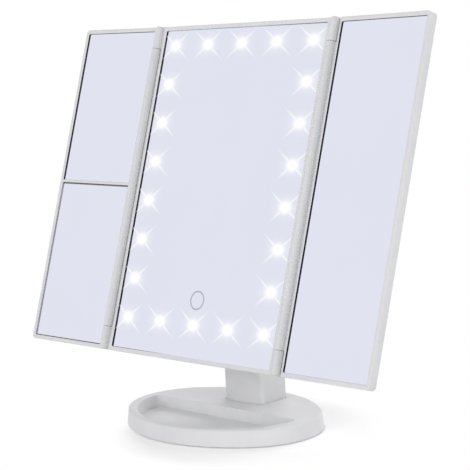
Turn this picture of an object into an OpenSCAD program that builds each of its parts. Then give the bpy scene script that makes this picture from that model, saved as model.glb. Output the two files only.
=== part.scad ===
// Trifold vanity mirror: a lit centre panel with two side panels that fold over it, on a tilting
// stand with an oval tray base. Millimetres, +Z up. The origin is on the table under the middle of
// the base, the user stands on the -Y side and +X is the user's right.
// Panel pieces are drawn in the panel's own frame: X across, Y depth behind its front face, Z up
// its face. at_panel() leans that frame back on the stand.

/* [Panels] */
// Height of all three panels
panel_h = 250; // [235:1:265]
// Distance between the two fold axes
hinge_span = 176; // [175:1:186]
// Width of a side panel, from its fold axis to its free edge
side_w = 83.6; // [80:0.1:85]
// Thickness of a side panel, back cover included
side_t = 6.3; // [6.1:0.1:9]
// Thickness of the centre panel at its edges
centre_t = 10; // [9.5:0.1:12]
// Total thickness of the centre panel where the rear housing bulges
bulge_t = 22; // [21.5:0.1:26]
// Radius of the panels' outer corners
corner_r = 3; // [1:0.1:3.4]

/* [Pose] */
// How far the panels lean back from upright, in degrees
lean = 18.33; // [1:0.5:40]
// How far each side panel stands folded forward of flat, in degrees
fold = 2; // [0:0.5:60]

/* [Hinges] */
// Radius of the hinge knuckles
knuckle_r = 3.5; // [3:0.1:3.8]
// Length of each short end knuckle
knuckle_end = 17.3; // [12:0.1:24]
// Distance of the fold axis in front of the panels' front face
axis_front = 0.8; // [0.6:0.1:1.2]
// Rounding of the hinges' outer ends
knuckle_round = 2; // [0.5:0.1:2]
// Radius of the hinge pins
pin_r = 1.25; // [1:0.05:1.5]

/* [Mirrors] */
// Thickness of the mirror glass
glass_t = 2; // [1.6:0.1:2.2]
// Depth of the glass below the front face
reveal = 1; // [0.8:0.1:1.3]
// Width of the narrow frame border seen round the glass
border = 3; // [2.4:0.1:4]
// Width of the bar between the two mirrors of the left panel
divider_w = 2; // [1.6:0.1:4]

/* [Lights] */
// Number of light windows across the top and bottom rows
led_cols = 5; // [3:1:7]
// Number of light windows up each side, corner windows included
led_rows = 8; // [4:1:10]
// Distance of the side columns from the panel's middle
led_x = 69.5; // [60:0.5:72]
// Height of the bottom row
led_low = 26.5; // [20:0.5:30]
// Height of the top row
led_high = 235; // [225:0.5:238]
// Radius of one frosted window
window_r = 3; // [2:0.1:4]
// Mean radius of the touch ring
touch_r = 6.5; // [5:0.1:8]
// Height of the touch ring up the panel
touch_z = 44.8; // [40:0.1:50]

/* [Base] */
// Half length of the base
base_a = 82; // [80:0.5:90]
// Half depth of the base
base_b = 62; // [60:0.5:66]
// Radius of the tight arcs at the two ends of the base
base_end_r = 49.7; // [47:0.1:54]
// Height of the base
base_h = 12.6; // [12:0.1:16]
// Half length of the tray recess
tray_a = 71; // [66:0.5:72]
// Half depth of the tray recess's oval
tray_b = 57.5; // [54:0.5:57.5]
// Height of the tray floor above the table
tray_z = 3.7; // [3.6:0.1:6]
// Place of the straight wall behind the tray
tray_back = 2; // [-6:0.5:4]
// Radius of the two corners at the ends of that wall
tray_corner = 4; // [1:0.5:8]

/* [Neck] */
// Half width of the neck
neck_x = 19.75; // [18:0.25:20]
// Depth of the neck, front to back
neck_d = 33.8; // [30:0.1:34]
// Distance of the neck's middle behind the middle of the base
neck_y = 35.1; // [33:0.1:37]
// Height of the tilt axle above the table
pivot_z = 131.7; // [128:0.1:140]
// Radius of the neck's upright corners
neck_corner = 4; // [3:0.1:6]
// Radius of the rounded head of the neck
head_r = 12.5; // [11:0.1:13]
// Radius of the tilt axle
axle_r = 4; // [3:0.1:4.5]

/* [Batteries] */
// Diameter of one cell
cell_d = 14.4; // [14:0.1:14.5]
// Length of one cell with its nub
cell_l = 50.5; // [49:0.1:50.5]
// Number of cells side by side
cells = 4; // [2:1:4]

/* [Hidden] */
$fn = 64;

// Colours, as the photograph shows the object
shell_white = [0.86, 0.86, 0.87];
mirror_blue = [0.86, 0.87, 0.93];
glow_white = [1, 1, 0.98];
steel_grey = [0.62, 0.63, 0.65];
rubber_dark = [0.2, 0.2, 0.21];
ring_grey = [0.5, 0.48, 0.55];
board_green = [0.12, 0.4, 0.26];
foam_grey = [0.42, 0.42, 0.44];
cell_grey = [0.35, 0.36, 0.4];
brass_gold = [0.75, 0.6, 0.3];

// Clearances
slack = 0.3;
running = 0.05;
seat_gap = 0.15;
eps = 0.01;
hair = 0.004;

// Fasteners
screw_r = 1.1;
screw_hole_r = 1.2;
screw_post_r = 3.4;
small_screw_r = 0.8;
small_head_r = 1.7;
head_h = 1.4;

// Panel layers, measured back from the front face
half_span = hinge_span / 2;
centre_x = half_span - slack;
centre_open = half_span - 7;
wall_top = 1.4;
frame_back = centre_t - 2;
glass_front = reveal;
glass_back = reveal + glass_t;
glass_x = centre_open + 1.8;
glass_edge = 1.6;
board_front = glass_back + 1.1;
board_t = 1;
plate_t = 2.2;
plate_front = bulge_t - plate_t;
lip_x = glass_x - 0.2;
lip_z = wall_top + 0.4;
glass_corner = 0.6;
groove_r = knuckle_r + 0.4;
barrel_low = knuckle_end + slack;
barrel_high = panel_h - knuckle_end - slack;
pin_reach = 12;

// Bulge of the rear housing
bulge_x = 60;
bulge_low = 26;
bulge_high = 220;
bulge_r = 10;
rib_z = [84, 128];

// Tilt pivot in the panel's frame
pivot_back = bulge_t + 20.5;
pivot_up = 96.3;
bracket_t = 2.5;
bracket_x = 26;
bracket_half = 19;
bracket_screw_spots = [for (x = [-14, 14], z = [-12, 12]) [x, pivot_up + z]];
bracket_head_r = 2.3;
lug_in = neck_x + 1.85;
lug_t = 3.6;
lug_out = lug_in + lug_t;
lug_r = 9;
axle_head_r = 6.6;
axle_head_h = 2.6;
axle_slot = 1.4;
nut_r = 7.2;
nut_h = 3.6;
washer_r = 8.4;
bushing_t = 1.5;

// Control board
board_x0 = -14;
board_x1 = 54;
board_z0 = 29.4;
board_z1 = 75;
control_y = 12;
control_t = 1.6;
control_back = control_y + control_t;
board_post_r = 2.6;
usb_x = 42;
usb_w = 7.6;
usb_h = 2.8;
usb_l = 5.6;
switch_x = 40;
switch_z = 60;
switch_travel = 3.4;
switch_slot = 4.4;
knob_w = 4.4;
knob_h = 3;
stem_w = 1.6;

// Battery bay
bay_x = cells * cell_d / 2 + 0.6;
bay_low = 145.5;
bay_high = 202;
bay_floor = glass_back + 0.6;
bay_wall = 1.6;
door_x = bay_x + 3.2;
door_low = 142;
door_t = 2;
door_travel = 12.5;
tongue_w = 1.5;
tongue_t = 0.8;
tongue_l = 11;
tongues = [150, 190];

// Side panel layers
side_open = 5.6;
side_wall = 1.4;
side_frame_back = side_t - 1.6;
side_glass_in = 4.4;
side_glass_out = side_w - side_wall - 0.2;
divider_z = panel_h * 0.508;
divider_gap = 0.3;

// Base
foot_r = 8;
foot_t = 1.6;
foot_spots = [[-56, 25], [56, 25], [-39, -37], [39, -37]];
base_screw_spots = [[-52, 38], [52, 38], [-66, 14], [66, 14]];
rim_screw_x = base_a - 6.6;
rim_screw_spots = [[-rim_screw_x, -4], [rim_screw_x, -4]];
rim_post_r = 2.7;
cover_z = 0.8;
cover_t = 1.3;
floor_z = cover_z + cover_t;
deck_t = 2.2;
wall_t = 2.4;
rim_r = 2;
rim_steps = 5;
draft = 1.3;
neck_front = neck_y - neck_d / 2;
neck_back = neck_y + neck_d / 2;
neck_arc = 50;
neck_wall = 2.4;
neck_seat = 0.8;
neck_gap = 0.35;
neck_foot = base_h - neck_seat;
neck_screw_spots = [for (x = [-9, 9], y = [-8, 8]) [x, neck_y + y]];
neck_post_h = 9;
neck_rib_z = [40, 62];
taper_z = pivot_z - 40;
spigot_x = 15.5;
spigot_y = 13;
spigot_z = 7.2;
rear_plate_x = 13;
rear_plate_low = 18;
rear_plate_high = taper_z - 8;
rear_screw_z = [rear_plate_low + 12, rear_plate_high - 12];

// ---------------------------------------------------------------- frames

module at_panel() {
    translate([0, neck_y, pivot_z])
        rotate([-lean, 0, 0])
            translate([0, -pivot_back, -pivot_up])
                children();
}

// Draws the same thing on the right (+X) or mirrored to the left, folded forward at its axis
module at_side(side) {
    at_panel()
        mirror([side < 0 ? 1 : 0, 0, 0])
            translate([half_span, -axis_front, 0])
                rotate([0, 0, -fold])
                    translate([0, axis_front, 0])
                        children();
}

// Extrudes a 2D outline (across, up) through the panel's depth from y0 to y1
module slab(y0, y1) {
    translate([0, y1, 0])
        rotate([90, 0, 0])
            linear_extrude(y1 - y0)
                children();
}

// A round bar that runs through the panel's depth
module through(x, z, y0, y1, r) {
    translate([x, y0, z])
        rotate([-90, 0, 0])
            cylinder(r = r, h = y1 - y0);
}

module box(x0, x1, y0, y1, z0, z1) {
    translate([x0, y0, z0])
        cube([x1 - x0, y1 - y0, z1 - z0]);
}

module rounded_rect(x0, x1, z0, z1, r) {
    translate([x0 + r, z0])
        square([x1 - x0 - 2 * r, z1 - z0]);
    translate([x0, z0 + r])
        square([x1 - x0, z1 - z0 - 2 * r]);
    for (x = [x0 + r, x1 - r], z = [z0 + r, z1 - r])
        translate([x, z])
            circle(r);
}

// Places one child at every light of the perimeter grid
module at_lights() {
    pitch_x = 2 * led_x / (led_cols - 1);
    pitch_z = (led_high - led_low) / (led_rows - 1);
    for (i = [0 : led_cols - 1], j = [0 : led_rows - 1])
        if (i == 0 || i == led_cols - 1 || j == 0 || j == led_rows - 1)
            translate([-led_x + i * pitch_x, 0, led_low + j * pitch_z])
                children();
}

// ---------------------------------------------------------------- ovals of four tangent arcs

function side_arc(a, b, r) = (pow(a - r, 2) + b * b - r * r) / (2 * (b - r));
function joint_angle(a, b, r) = atan2(side_arc(a, b, r) - b, a - r);

// The oval with half axes a and b and end radius r, grown outward by off. The end arcs stand a
// hair proud of the tangent, so that they cross the long arcs cleanly.
module oval(a, b, r, off = 0) {
    big = side_arc(a, b, r);
    join_x = (big + off) * cos(joint_angle(a, b, r));
    for (s = [-1, 1])
        translate([s * (a - r), 0])
            circle(r + off + hair);
    intersection() {
        translate([0, big - b])
            circle(big + off);
        translate([0, b - big])
            circle(big + off);
        square([2 * join_x, 4 * b], center = true);
    }
}

// One thin slice of the base's outside: its offset inward and its height
module base_slice(inward, z) {
    translate([0, 0, z])
        linear_extrude(eps)
            oval(base_a, base_b, base_end_r, -inward, $fn = 96);
}

// The base's outside: a slight draft, then the rounded rim
module base_disc() {
    rim_z = base_h - rim_r - eps;
    hull() {
        base_slice(0, cover_z);
        for (turn = [0 : 90 / rim_steps : 90])
            base_slice(draft + rim_r * (1 - cos(turn)), rim_z + rim_r * sin(turn));
    }
}

// ---------------------------------------------------------------- base

// Plan of the tray: the front of an oval, closed by the straight back wall
module tray_outline(off = 0) {
    half = tray_a - 0.1 + off;
    intersection() {
        oval(tray_a, tray_b, tray_b - 11, off);
        rounded_rect(-half, half, -2 * base_b, tray_back + off, tray_corner + off);
    }
}

module base_shell() {
    deck_low = base_h - deck_t;
    inset = -draft - wall_t;
    tub_wall = 1.8;
    rib = 0.8;
    screw_hole_h = 7.4;
    socket_x = spigot_x + seat_gap;
    socket_y = spigot_y + seat_gap;
    color(shell_white)
        difference() {
            base_disc();
            translate([0, 0, tray_z])
                linear_extrude(base_h)
                    tray_outline();
            // seat round the neck's foot
            translate([0, 0, neck_foot])
                linear_extrude(base_h)
                    neck_plan(neck_gap);
            // seat of the bottom cover
            linear_extrude(floor_z)
                oval(base_a, base_b, base_end_r, inset);
            // hollow under the deck, round the tray's tub, the screw posts and two ribs
            difference() {
                translate([0, 0, floor_z - 1])
                    linear_extrude(deck_low - floor_z + 1)
                        oval(base_a, base_b, base_end_r, inset);
                translate([0, 0, floor_z])
                    linear_extrude(base_h)
                        tray_outline(tub_wall);
                for (p = base_screw_spots)
                    translate([p[0], p[1], floor_z])
                        cylinder(r = screw_post_r, h = base_h);
                for (p = rim_screw_spots)
                    translate([p[0], p[1], floor_z])
                        cylinder(r = rim_post_r, h = base_h);
                for (x = [-30, 30])
                    box(x - rib, x + rib, tray_back, base_b, deck_low - 2.4, base_h);
            }
            for (p = concat(base_screw_spots, rim_screw_spots))
                translate([p[0], p[1], floor_z - 1])
                    cylinder(r = screw_r, h = screw_hole_h);
            // socket for the neck's spigot
            box(-socket_x, socket_x, neck_y - socket_y, neck_y + socket_y, deck_low - 1, base_h + 1);
        }
}

module base_cover() {
    foot_pocket = 0.8;
    color(shell_white)
        difference() {
            translate([0, 0, cover_z])
                linear_extrude(cover_t)
                    oval(base_a, base_b, base_end_r, -draft - wall_t - seat_gap);
            for (p = foot_spots)
                translate([p[0], p[1], cover_z - 1])
                    cylinder(r = foot_r, h = 1 + foot_pocket);
            for (p = concat(base_screw_spots, rim_screw_spots))
                translate([p[0], p[1], cover_z - 1])
                    cylinder(r = screw_hole_r, h = cover_t + 2);
            for (p = neck_screw_spots)
                translate([p[0], p[1], cover_z - 1])
                    cylinder(r = 3.6, h = cover_t + 2);
        }
}

module ballast_plate() {
    plate_h = 5;
    color(steel_grey)
        difference() {
            translate([0, 0, floor_z])
                linear_extrude(plate_h)
                    intersection() {
                        oval(base_a, base_b, base_end_r, -draft - wall_t - 1.5);
                        translate([-base_a, tray_back + 3])
                            square([2 * base_a, base_b]);
                    }
            for (p = base_screw_spots)
                translate([p[0], p[1], floor_z - 1])
                    cylinder(r = 4, h = plate_h + 2);
            for (p = neck_screw_spots) {
                translate([p[0], p[1], floor_z - 1])
                    cylinder(r = 1.6, h = plate_h + 2);
                translate([p[0], p[1], floor_z - 1])
                    cylinder(r = 3.2, h = 3);
            }
        }
}

module base_feet() {
    color(rubber_dark)
        for (p = foot_spots)
            translate([p[0], p[1], 0])
                difference() {
                    cylinder(r = foot_r, h = foot_t);
                    translate([0, 0, -1])
                        cylinder(r = foot_r - 3.5, h = 1.4);
                }
}

module base_screws() {
    color(steel_grey)
        for (p = concat(base_screw_spots, rim_screw_spots))
            translate([p[0], p[1], 0]) {
                cylinder(r = 2.1, h = cover_z);
                cylinder(r = screw_r, h = 7.5);
            }
}

// ---------------------------------------------------------------- neck

function tangent(p, c, r, s) =
    let (a = atan2(p[1] - c[1], p[0] - c[0]) + s * acos(r / norm(p - c)))
    c + r * [cos(a), sin(a)];

// Side view of the neck (depth, height), grown outward by off: straight, then tapering to the head
module neck_profile(z0, off = 0) {
    head = [neck_y, pivot_z];
    front = [neck_front - off, taper_z];
    rear = [neck_back + off, taper_z];
    polygon([
        [neck_front - off, z0],
        front,
        tangent(front, head, head_r + off, -1),
        head,
        tangent(rear, head, head_r + off, 1),
        rear,
        [neck_back + off, z0]
    ]);
    translate(head)
        circle(head_r + off);
}

// Plan of the neck, grown outward by off: a gently convex front and back, and four corner arcs
// that meet them without an edge
module neck_plan(off = 0) {
    corner_x = neck_x - neck_corner;
    reach = neck_arc - neck_corner;
    corner_y = sqrt(reach * reach - corner_x * corner_x) - neck_arc + neck_d / 2;
    blend_x = corner_x * (neck_arc + off) / reach;
    translate([0, neck_y]) {
        intersection() {
            translate([0, neck_arc - neck_d / 2])
                circle(neck_arc + off, $fn = 256);
            translate([0, neck_d / 2 - neck_arc])
                circle(neck_arc + off, $fn = 256);
            square([2 * blend_x, 2 * neck_d], center = true);
        }
        square([2 * (neck_x + off), 2 * corner_y], center = true);
        for (x = [-corner_x, corner_x], y = [-corner_y, corner_y])
            translate([x, y])
                circle(neck_corner + off + hair);
    }
}

module neck_solid(z0, off = 0) {
    intersection() {
        translate([0, 0, z0])
            linear_extrude(pivot_z + 40 - z0)
                neck_plan(off);
        translate([-neck_x - 1, 0, 0])
            rotate([90, 0, 90])
                linear_extrude(2 * neck_x + 2)
                    neck_profile(z0, off);
    }
}

module neck_column() {
    floor_top = base_h + 2;
    cup = 2;
    window_x = rear_plate_x + seat_gap;
    color(shell_white)
        difference() {
            union() {
                difference() {
                    union() {
                        neck_solid(neck_foot);
                        // spigot that plugs into the base
                        box(-spigot_x, spigot_x, neck_y - spigot_y, neck_y + spigot_y, spigot_z, base_h);
                    }
                    // hollow of the column, closed below the head
                    intersection() {
                        neck_solid(floor_top, -neck_wall);
                        box(-neck_x, neck_x, 0, base_b, floor_top, pivot_z - head_r - 3);
                    }
                    // hollow of the spigot
                    box(-spigot_x + cup, spigot_x - cup, neck_y - spigot_y + cup, neck_y + spigot_y - cup,
                        spigot_z + 2.4, floor_top + 1);
                    // window for the rear cover
                    box(-window_x, window_x, neck_y + 8, base_b, rear_plate_low, rear_plate_high);
                }
                for (p = neck_screw_spots)
                    translate([p[0], p[1], spigot_z])
                        cylinder(r = screw_post_r, h = neck_post_h);
                // posts for the rear cover's screws
                for (z = rear_screw_z)
                    through(0, z, neck_front + 1, neck_back - neck_wall - 0.4, screw_post_r);
                // cross ribs
                intersection() {
                    neck_solid(neck_foot, -1);
                    for (z = neck_rib_z)
                        box(-neck_x, neck_x, neck_front, neck_front + 9, z, z + 1.8);
                }
            }
            for (p = neck_screw_spots)
                translate([p[0], p[1], spigot_z - 1])
                    cylinder(r = screw_r, h = neck_post_h);
            for (z = rear_screw_z)
                through(0, z, neck_back - 12, neck_back, screw_r);
            translate([-neck_x - 1, neck_y, pivot_z])
                rotate([0, 90, 0])
                    cylinder(r = axle_r + bushing_t, h = 2 * neck_x + 2);
        }
}

module neck_rear_cover() {
    color(shell_white)
        difference() {
            translate([0, 0, rear_plate_low + seat_gap])
                linear_extrude(rear_plate_high - rear_plate_low - 2 * seat_gap)
                    intersection() {
                        neck_plan();
                        translate([-rear_plate_x, neck_back - neck_wall])
                            square([2 * rear_plate_x, neck_wall + 1]);
                    }
            for (z = rear_screw_z) {
                through(0, z, neck_back - 8, neck_back + 1, screw_hole_r);
                through(0, z, neck_back - 1.5, neck_back + 1, 2.4);
            }
        }
}

module neck_cover_screws() {
    color(steel_grey)
        for (z = rear_screw_z) {
            through(0, z, neck_back - 10, neck_back - 1, screw_r);
            through(0, z, neck_back - 1.5, neck_back - 0.3, 2.2);
        }
}

module neck_foot_screws() {
    color(steel_grey)
        for (p = neck_screw_spots)
            translate([p[0], p[1], floor_z]) {
                cylinder(r = 3, h = 2);
                cylinder(r = screw_r, h = 12);
            }
}

module axle_bushing() {
    color(brass_gold)
        translate([-neck_x, neck_y, pivot_z])
            rotate([0, 90, 0])
                difference() {
                    cylinder(r = axle_r + bushing_t, h = 2 * neck_x);
                    translate([0, 0, -1])
                        cylinder(r = axle_r + running, h = 2 * neck_x + 2);
                }
}

// ---------------------------------------------------------------- tilt hinge

module across(x0, x1, r) {
    translate([x0, pivot_back, pivot_up])
        rotate([0, 90, 0])
            cylinder(r = r, h = x1 - x0);
}

module tilt_axle() {
    color(steel_grey)
        at_panel() {
            across(-lug_out - nut_h - 1, lug_out + 1, axle_r);
            // slotted head
            difference() {
                across(lug_out, lug_out + axle_head_h, axle_head_r);
                box(lug_out + axle_head_h - 1, lug_out + axle_head_h + 1, pivot_back - axle_head_r,
                    pivot_back + axle_head_r, pivot_up - axle_slot / 2, pivot_up + axle_slot / 2);
            }
        }
}

module friction_washers() {
    color(steel_grey)
        at_panel()
            for (s = [-1, 1])
                difference() {
                    across(s > 0 ? neck_x + slack : -lug_in, s > 0 ? lug_in : -neck_x - slack, washer_r);
                    across(-bracket_x, bracket_x, axle_r);
                }
}

module axle_nut() {
    color(steel_grey)
        at_panel()
            difference() {
                translate([-lug_out - nut_h, pivot_back, pivot_up])
                    rotate([0, 90, 0])
                        cylinder(r = nut_r, h = nut_h, $fn = 6);
                across(-lug_out - nut_h - 1, -lug_in, axle_r);
            }
}

module lug_profile() {
    foot = bulge_t + 0.5;
    low = [foot, pivot_up - bracket_half + 2];
    high = [foot, pivot_up + bracket_half - 2];
    head = [pivot_back, pivot_up];
    polygon([low, tangent(low, head, lug_r, 1), head, tangent(high, head, lug_r, -1), high]);
    translate(head)
        circle(lug_r);
}

module tilt_bracket() {
    color(shell_white)
        at_panel()
            difference() {
                union() {
                    slab(bulge_t, bulge_t + bracket_t)
                        rounded_rect(-bracket_x, bracket_x, pivot_up - bracket_half,
                            pivot_up + bracket_half, 4);
                    for (x = [-lug_out, lug_in])
                        translate([x, 0, 0])
                            rotate([90, 0, 90])
                                linear_extrude(lug_t)
                                    lug_profile();
                }
                across(-bracket_x - 1, bracket_x + 1, axle_r);
                for (p = bracket_screw_spots) {
                    through(p[0], p[1], bulge_t - 1, bulge_t + 4, screw_hole_r);
                    through(p[0], p[1], bulge_t + 1.2, bulge_t + 4, bracket_head_r + 0.2);
                }
            }
}

module bracket_screws() {
    color(steel_grey)
        at_panel()
            for (p = bracket_screw_spots) {
                through(p[0], p[1], bulge_t - 8, bulge_t + 1.3, screw_r);
                through(p[0], p[1], bulge_t + 1.2, bulge_t + bracket_t, bracket_head_r);
            }
}

// ---------------------------------------------------------------- centre panel

// One cylinder round a fold axis, at the centre panel's left (-1) or right (+1) edge
module centre_knuckle(side, z0, z1, r) {
    translate([side * half_span, -axis_front, z0])
        cylinder(r = r, h = z1 - z0);
}

// The short knuckle at the foot (end 0) or head (end 1) of a fold axis, its outer rim rounded
module end_knuckle(side, end) {
    translate([side * half_span, -axis_front, end * panel_h])
        mirror([0, 0, end])
            rotate_extrude()
                intersection() {
                    union() {
                        square([knuckle_r - knuckle_round, knuckle_end]);
                        translate([0, knuckle_round])
                            square([knuckle_r, knuckle_end - knuckle_round]);
                        translate([knuckle_r - knuckle_round, knuckle_round])
                            circle(knuckle_round);
                    }
                    square([knuckle_r, knuckle_end]);
                }
}

frame_screw_x = centre_x - 2.2;
frame_screw_z = [30, 93, 157, 220];

module centre_frame() {
    color(shell_white)
        at_panel()
            difference() {
                union() {
                    difference() {
                        slab(0, frame_back)
                            rounded_rect(-centre_x, centre_x, 0, panel_h, corner_r);
                        for (s = [-1, 1])
                            centre_knuckle(s, knuckle_end, panel_h - knuckle_end, groove_r);
                    }
                    for (s = [-1, 1], end = [0, 1])
                        end_knuckle(s, end);
                }
                slab(-1, glass_front + 1)
                    rounded_rect(-centre_open, centre_open, border, panel_h - border, 1);
                slab(glass_front, frame_back + 1)
                    rounded_rect(-glass_x - 0.2, glass_x + 0.2, wall_top, panel_h - wall_top, glass_corner);
                for (s = [-1, 1])
                    centre_knuckle(s, -1, panel_h + 1, pin_r);
                for (s = [-1, 1], z = frame_screw_z)
                    through(s * frame_screw_x, z, frame_back - 4, frame_back + 1, small_screw_r);
            }
}

window_t = 0.4;
ring_t = 0.3;
ring_half = 0.6;

module centre_mirror() {
    color(mirror_blue)
        at_panel()
            difference() {
                slab(glass_front, glass_back)
                    rounded_rect(-glass_x, glass_x, glass_edge, panel_h - glass_edge, glass_corner);
                at_lights()
                    through(0, 0, glass_front - 1, glass_front + window_t, window_r);
                difference() {
                    through(0, touch_z, glass_front - 1, glass_front + ring_t, touch_r + ring_half);
                    through(0, touch_z, glass_front - 2, glass_front + 1, touch_r - ring_half);
                }
            }
}

module light_windows() {
    color(glow_white)
        at_panel()
            at_lights()
                through(0, 0, glass_front, glass_front + window_t, window_r);
}

module touch_ring() {
    color(ring_grey)
        at_panel()
            difference() {
                through(0, touch_z, glass_front, glass_front + ring_t, touch_r + ring_half);
                through(0, touch_z, glass_front - 1, glass_front + 1, touch_r - ring_half);
            }
}

module led_board() {
    margin = 6;
    half_w = led_x + margin;
    color(board_green)
        at_panel()
            slab(board_front, board_front + board_t)
                difference() {
                    rounded_rect(-half_w, half_w, led_low - margin, led_high + margin, 2);
                    rounded_rect(-half_w + 2 * margin, half_w - 2 * margin, led_low + margin,
                        led_high - margin, 2);
                }
}

module leds() {
    color(glow_white)
        at_panel()
            at_lights() {
                box(-1.75, 1.75, board_front - 0.7, board_front, -1.4, 1.4);
                through(0, 0, board_front - 0.9, board_front - 0.5, 1.1);
            }
}

module touch_sensor() {
    color(brass_gold)
        at_panel() {
            through(0, touch_z, glass_back, glass_back + 0.4, 9);
            difference() {
                through(0, touch_z, glass_back + 0.3, control_y, 3);
                through(0, touch_z, glass_back + 1.4, control_y + 1, 2.2);
            }
        }
}

board_posts = [[board_x0 + 3.5, board_z0 + 4], [board_x1 - 3.5, board_z0 + 12],
    [board_x0 + 3.5, board_z1 - 4], [board_x1 - 3.5, board_z1 - 4]];

module control_board() {
    color(board_green)
        at_panel()
            difference() {
                slab(control_y, control_back)
                    rounded_rect(board_x0, board_x1, board_z0, board_z1, 1.5);
                for (p = board_posts)
                    through(p[0], p[1], control_y - 1, control_back + 1, screw_r);
            }
}

module board_components() {
    color(rubber_dark)
        at_panel() {
            box(4, 9, control_back, control_back + 1.5, 58, 62);
            box(16, 22, control_back, control_back + 4, 66, 72.5);
            box(-8, -2, control_back, control_back + 4, 52, 58.5);
            through(26, 40, control_back, control_back + 5.4, 2.5);
            through(15, 38, control_back, control_back + 3, 3.4);
            for (x = [5, 9, 13, 17])
                box(x, x + 1.6, control_back, control_back + 0.7, 46, 49.2);
        }
}

module board_screws() {
    color(steel_grey)
        at_panel()
            for (p = board_posts) {
                through(p[0], p[1], control_y - 1.2, control_y, 1.9);
                through(p[0], p[1], control_y - 0.5, control_back + 3.6, screw_r);
            }
}

module usb_socket() {
    color(steel_grey)
        at_panel()
            difference() {
                box(usb_x - usb_w / 2, usb_x + usb_w / 2, control_back, control_back + usb_h,
                    bulge_low + 0.6, bulge_low + 0.6 + usb_l);
                difference() {
                    box(usb_x - usb_w / 2 + 0.35, usb_x + usb_w / 2 - 0.35, control_back + 0.35,
                        control_back + usb_h - 0.35, bulge_low, bulge_low + usb_l - 0.4);
                    box(usb_x - 2, usb_x + 2, control_back + 1, control_back + 1.6,
                        bulge_low + 1.4, bulge_low + usb_l);
                }
            }
}

module switch_case() {
    color(steel_grey)
        at_panel()
            difference() {
                box(switch_x - 6, switch_x + 6, control_back, plate_front - 0.8,
                    switch_z - 3, switch_z + 3);
                box(switch_x - 3.9, switch_x + 3.9, plate_front - 3, plate_front,
                    switch_z - 1.1, switch_z + 1.1);
            }
}

// The slider rests at its "on" end, towards the panel's middle
module switch_slider() {
    knob_x = switch_x - switch_travel / 2;
    color(shell_white)
        at_panel()
            difference() {
                union() {
                    box(knob_x - knob_w / 2, knob_x + knob_w / 2, plate_front - 0.5, bulge_t + 0.8,
                        switch_z - knob_h / 2, switch_z + knob_h / 2);
                    box(knob_x - stem_w / 2, knob_x + stem_w / 2, plate_front - 2.5, plate_front,
                        switch_z - stem_w / 2, switch_z + stem_w / 2);
                }
                for (x = [-1.2, 0, 1.2])
                    box(knob_x + x - 0.25, knob_x + x + 0.25, bulge_t + 0.4, bulge_t + 1,
                        switch_z - 2, switch_z + 2);
            }
}

module rear_housing() {
    rib = 0.8;
    lip = 1.6;
    color(shell_white)
        at_panel() {
            difference() {
                union() {
                    // flange that closes the frame
                    slab(frame_back, centre_t)
                        rounded_rect(-centre_x, centre_x, 0, panel_h, corner_r);
                    // bulge
                    slab(centre_t - 1, bulge_t)
                        rounded_rect(-bulge_x, bulge_x, bulge_low, bulge_high, bulge_r);
                    // lip that drops into the frame
                    slab(frame_back - 2, frame_back + 1)
                        rounded_rect(-lip_x, lip_x, lip_z, panel_h - lip_z, glass_corner);
                }
                // hollow of the lip
                slab(frame_back - 3, frame_back)
                    rounded_rect(-lip_x + lip, lip_x - lip, lip_z + lip, panel_h - lip_z - lip,
                        glass_corner);
                // hollow of the bulge, round the battery bay, the posts and the ribs
                difference() {
                    slab(frame_back - 1, plate_front)
                        rounded_rect(-bulge_x + plate_t, bulge_x - plate_t, bulge_low + plate_t,
                            bulge_high - plate_t, bulge_r - plate_t);
                    battery_bay_block();
                    for (p = board_posts)
                        through(p[0], p[1], control_back, bulge_t, board_post_r);
                    for (p = bracket_screw_spots)
                        through(p[0], p[1], plate_front - 8, bulge_t, screw_post_r);
                    for (x = [-40, 40])
                        box(x - rib, x + rib, frame_back, bulge_t, rib_z[0], bulge_high);
                    for (z = rib_z)
                        box(-bulge_x, bulge_x, plate_front - 4, bulge_t, z - rib, z + rib);
                }
                battery_bay_hollow();
                door_cut();
                // holes for the screws
                for (s = [-1, 1], z = frame_screw_z) {
                    through(s * frame_screw_x, z, frame_back - 1, centre_t + 1, small_screw_r + 0.2);
                    through(s * frame_screw_x, z, centre_t - head_h + 0.4, centre_t + 1,
                        small_head_r + 0.1);
                }
                for (p = board_posts)
                    through(p[0], p[1], control_back - 1, control_back + 4, screw_r);
                for (p = bracket_screw_spots)
                    through(p[0], p[1], plate_front - 6.5, bulge_t + 1, screw_r);
                // slot and finger recess of the power switch
                box(switch_x - switch_slot, switch_x + switch_slot, plate_front - 1, bulge_t + 1,
                    switch_z - knob_h / 2 - slack, switch_z + knob_h / 2 + slack);
                box(switch_x - 7, switch_x + 7, bulge_t - 0.9, bulge_t + 1, switch_z - 3.6, switch_z + 3.6);
                // mouth of the power inlet
                box(usb_x - usb_w / 2 - 0.2, usb_x + usb_w / 2 + 0.2, control_back - 0.2,
                    control_back + usb_h + 0.2, bulge_low - 1, bulge_low + plate_t + 1);
            }
            // pads that hold the light board and the glass
            for (s = [-1, 1], z = [60, 120, 190])
                box(s * led_x - 2.5, s * led_x + 2.5, board_front + board_t, frame_back, z - rib, z + rib);
        }
}

module battery_bay_block() {
    slab(bay_floor, plate_front)
        rounded_rect(-bay_x - bay_wall, bay_x + bay_wall, bay_low - bay_wall, bay_high + bay_wall, 1);
    // ledges that carry the door
    box(-door_x - 3, door_x + 3, plate_front - 2.2, bulge_t, door_low - 2, bulge_high);
}

module battery_bay_hollow() {
    slab(bay_floor + 1.2, bulge_t)
        rounded_rect(-bay_x, bay_x, bay_low, bay_high, 0.6);
}

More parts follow.
